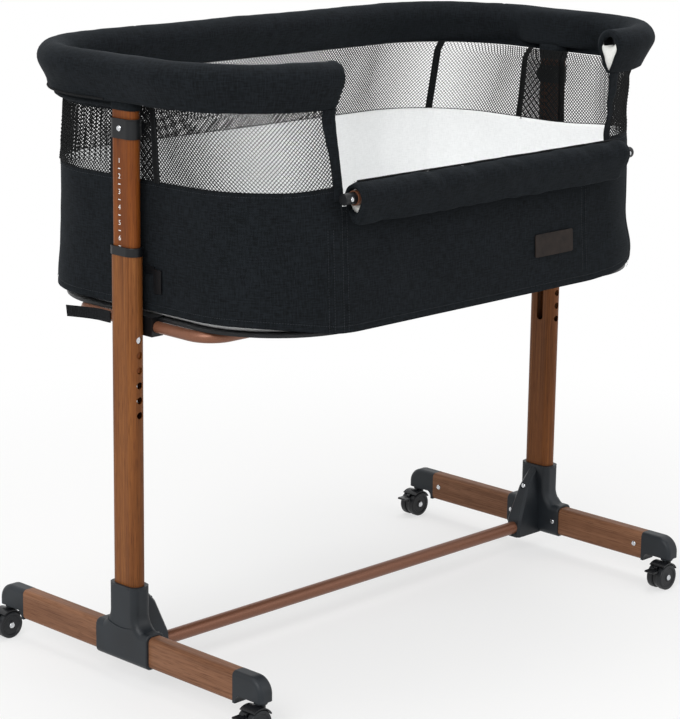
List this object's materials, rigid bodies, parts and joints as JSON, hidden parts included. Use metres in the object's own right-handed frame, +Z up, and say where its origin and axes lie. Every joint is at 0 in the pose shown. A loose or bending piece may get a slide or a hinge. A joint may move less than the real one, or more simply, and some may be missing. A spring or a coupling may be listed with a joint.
{
  "type": "bedside sleeper crib",
  "caption": "Free-standing bedside sleeper crib: padded fabric and mesh basket on telescopic wood-print posts, cross feet with braked casters, open front with a lift-up padded rail.",
  "frame": {"origin": "on the floor, midway between the two posts and midway along the cross feet", "axes": "+X along the bed towards its right-hand end seen from the open bedside, +Y from the open bedside to the back, +Z up"},
  "size_m": [0.9612, 0.5683, 0.887],
  "materials": {
    "wood_print": "steel tube with printed wood grain, satin lacquer",
    "copper": "copper-brown metallic paint",
    "black_plastic": "moulded nylon, fine texture",
    "caster_plastic": "moulded, semi-gloss",
    "wheel": "black tread",
    "chrome": "bright",
    "charcoal_fabric": "linen-look polyester",
    "mesh": "open net",
    "white_liner": "soft cotton",
    "foam": "pale foam",
    "board": "hardboard",
    "leather": "brown patch, bare",
    "webbing": "ribbed webbing"
  },
  "bodies": {
    "stand": {"foot_tubes": "wood_print", "foot_cap_front_left": "black_plastic", "foot_cap_front_right": "black_plastic", "foot_cap_rear_left": "black_plastic", "foot_cap_rear_right": "black_plastic", "post_base_left": "black_plastic", "post_base_right": "black_plastic", "outer_post_left": "wood_print", "outer_post_right": "wood_print", "post_collars": "black_plastic", "stretcher_tube": "copper", "base_screws": "chrome"},
    "bed": {"inner_post_left": "wood_print", "inner_post_right": "wood_print", "top_bands": "black_plastic", "lower_brackets": "black_plastic", "bed_screws": "chrome", "rim_tube": "copper", "rim_foam": "foam", "rim_cover": "charcoal_fabric", "rim_cover_ends": "charcoal_fabric", "rim_end_cups": "black_plastic", "side_wall": "charcoal_fabric", "mesh_band": "mesh", "inner_liner": "white_liner", "mattress": "white_liner", "base_board": "board", "bed_frame_tube": "copper", "label_patch": "leather", "strap_tail": "webbing", "strap_buckle": "black_plastic", "front_mesh": "mesh"},
    "front_rail": {"rail_tube": "copper", "rail_foam": "foam", "rail_cover": "charcoal_fabric", "rail_plugs": "black_plastic"},
    "height_button_left": {"lock_button_left": "black_plastic"},
    "height_button_right": {"lock_button_right": "black_plastic"},
    "rail_button_left_body": {"rail_button_left": "chrome"},
    "rail_button_right_body": {"rail_button_right": "chrome"},
    "caster_front_left": {"caster_fork_front_left": "caster_plastic", "caster_axle_front_left": "chrome"},
    "wheel_a_front_left": {"caster_wheel_a_front_left": "wheel"},
    "wheel_b_front_left": {"caster_wheel_b_front_left": "wheel"},
    "brake_front_left": {"brake_lever_front_left": "caster_plastic"},
    "caster_front_right": {"caster_fork_front_right": "caster_plastic", "caster_axle_front_right": "chrome"},
    "wheel_a_front_right": {"caster_wheel_a_front_right": "wheel"},
    "wheel_b_front_right": {"caster_wheel_b_front_right": "wheel"},
    "brake_front_right": {"brake_lever_front_right": "caster_plastic"},
    "caster_rear_left": {"caster_fork_rear_left": "caster_plastic", "caster_axle_rear_left": "chrome"},
    "wheel_a_rear_left": {"caster_wheel_a_rear_left": "wheel"},
    "wheel_b_rear_left": {"caster_wheel_b_rear_left": "wheel"},
    "brake_rear_left": {"brake_lever_rear_left": "caster_plastic"},
    "caster_rear_right": {"caster_fork_rear_right": "caster_plastic", "caster_axle_rear_right": "chrome"},
    "wheel_a_rear_right": {"caster_wheel_a_rear_right": "wheel"},
    "wheel_b_rear_right": {"caster_wheel_b_rear_right": "wheel"},
    "brake_rear_right": {"brake_lever_rear_right": "caster_plastic"}
  },
  "joints": [
    {"name": "bed_height", "type": "slide", "parent": "stand", "child": "bed", "axis": [0, 0, 1], "range_m": [-0.105, 0]},
    {"name": "front_rail_lift", "type": "slide", "parent": "bed", "child": "front_rail", "axis": [0, 0.2099, 0.9777], "range_m": [0, 0.16672], "deforming": ["front_mesh"]},
    {"name": "height_button_left_press", "type": "slide", "parent": "bed", "child": "height_button_left", "axis": [0, 1, 0], "range_m": [-0.0045, 0.003], "stiffness_N_per_m": 1000, "springref_m": -0.0045},
    {"name": "height_button_right_press", "type": "slide", "parent": "bed", "child": "height_button_right", "axis": [0, 1, 0], "range_m": [-0.0045, 0.003], "stiffness_N_per_m": 1000, "springref_m": -0.0045},
    {"name": "rail_button_left_press", "type": "slide", "parent": "front_rail", "child": "rail_button_left_body", "axis": [0, 1, 0], "range_m": [-0.002, 0.003], "stiffness_N_per_m": 1000, "springref_m": -0.002},
    {"name": "rail_button_right_press", "type": "slide", "parent": "front_rail", "child": "rail_button_right_body", "axis": [0, 1, 0], "range_m": [-0.002, 0.003], "stiffness_N_per_m": 1000, "springref_m": -0.002},
    {"name": "swivel_front_left", "type": "hinge", "parent": "stand", "child": "caster_front_left", "pos_m": [-0.44, -0.265, 0.05], "axis": [0, 0, 1], "continuous": true},
    {"name": "roll_a_front_left", "type": "hinge", "parent": "caster_front_left", "child": "wheel_a_front_left", "pos_m": [-0.452, -0.265, 0.02], "axis": [0, 1, 0], "continuous": true},
    {"name": "roll_b_front_left", "type": "hinge", "parent": "caster_front_left", "child": "wheel_b_front_left", "pos_m": [-0.452, -0.265, 0.02], "axis": [0, 1, 0], "continuous": true},
    {"name": "brake_press_front_left", "type": "hinge", "parent": "caster_front_left", "child": "brake_front_left", "pos_m": [-0.46575, -0.265, 0.03238], "axis": [0, -1, 0], "range_deg": [0, 15]},
    {"name": "swivel_front_right", "type": "hinge", "parent": "stand", "child": "caster_front_right", "pos_m": [0.44, -0.265, 0.05], "axis": [0, 0, 1], "continuous": true},
    {"name": "roll_a_front_right", "type": "hinge", "parent": "caster_front_right", "child": "wheel_a_front_right", "pos_m": [0.428, -0.265, 0.02], "axis": [0, 1, 0], "continuous": true},
    {"name": "roll_b_front_right", "type": "hinge", "parent": "caster_front_right", "child": "wheel_b_front_right", "pos_m": [0.428, -0.265, 0.02], "axis": [0, 1, 0], "continuous": true},
    {"name": "brake_press_front_right", "type": "hinge", "parent": "caster_front_right", "child": "brake_front_right", "pos_m": [0.41425, -0.265, 0.03238], "axis": [0, -1, 0], "range_deg": [0, 15]},
    {"name": "swivel_rear_left", "type": "hinge", "parent": "stand", "child": "caster_rear_left", "pos_m": [-0.44, 0.265, 0.05], "axis": [0, 0, 1], "continuous": true},
    {"name": "roll_a_rear_left", "type": "hinge", "parent": "caster_rear_left", "child": "wheel_a_rear_left", "pos_m": [-0.452, 0.265, 0.02], "axis": [0, 1, 0], "continuous": true},
    {"name": "roll_b_rear_left", "type": "hinge", "parent": "caster_rear_left", "child": "wheel_b_rear_left", "pos_m": [-0.452, 0.265, 0.02], "axis": [0, 1, 0], "continuous": true},
    {"name": "brake_press_rear_left", "type": "hinge", "parent": "caster_rear_left", "child": "brake_rear_left", "pos_m": [-0.46575, 0.265, 0.03238], "axis": [0, -1, 0], "range_deg": [0, 15]},
    {"name": "swivel_rear_right", "type": "hinge", "parent": "stand", "child": "caster_rear_right", "pos_m": [0.44, 0.265, 0.05], "axis": [0, 0, 1], "continuous": true},
    {"name": "roll_a_rear_right", "type": "hinge", "parent": "caster_rear_right", "child": "wheel_a_rear_right", "pos_m": [0.428, 0.265, 0.02], "axis": [0, 1, 0], "continuous": true},
    {"name": "roll_b_rear_right", "type": "hinge", "parent": "caster_rear_right", "child": "wheel_b_rear_right", "pos_m": [0.428, 0.265, 0.02], "axis": [0, 1, 0], "continuous": true},
    {"name": "brake_press_rear_right", "type": "hinge", "parent": "caster_rear_right", "child": "brake_rear_right", "pos_m": [0.41425, 0.265, 0.03238], "axis": [0, -1, 0], "range_deg": [0, 15]}
  ]
}
